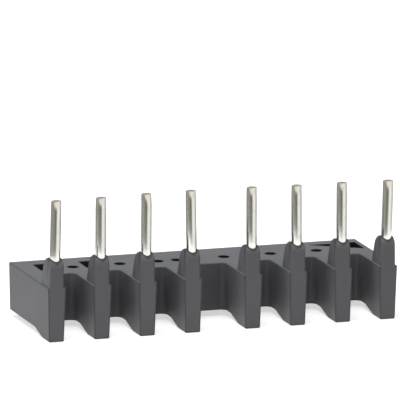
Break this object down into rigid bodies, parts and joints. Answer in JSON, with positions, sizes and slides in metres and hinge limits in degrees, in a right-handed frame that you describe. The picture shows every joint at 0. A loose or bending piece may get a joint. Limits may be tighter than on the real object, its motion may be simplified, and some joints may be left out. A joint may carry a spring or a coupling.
{
  "type": "power distribution block",
  "caption": "Comb-shaped wiring block whose bare round pins join the main terminals of two contactors mounted side by side.",
  "frame": {"origin": "middle of the block in plan, on the plane that the feet of the teeth stand on", "axes": "+X along the row of pins, from pin 1 to pin 8; +Z along the pins, out of their sleeves; the teeth point to -Y"},
  "size_m": [0.0802, 0.026, 0.0312],
  "materials": {
    "housing_plastic": "dark grey moulded polyamide, fine matt texture",
    "cover_plastic": "dark grey moulded polyamide, plain matt",
    "tinned_copper": "tinned solid copper wire, drawn, bright with faint lengthwise streaks"
  },
  "bodies": {
    "root": {"housing": "housing_plastic", "base_cover": "cover_plastic", "conductor_pole_1": "tinned_copper", "conductor_pole_2": "tinned_copper", "conductor_pole_3": "tinned_copper", "conductor_pole_4": "tinned_copper"}
  },
  "joints": []
}
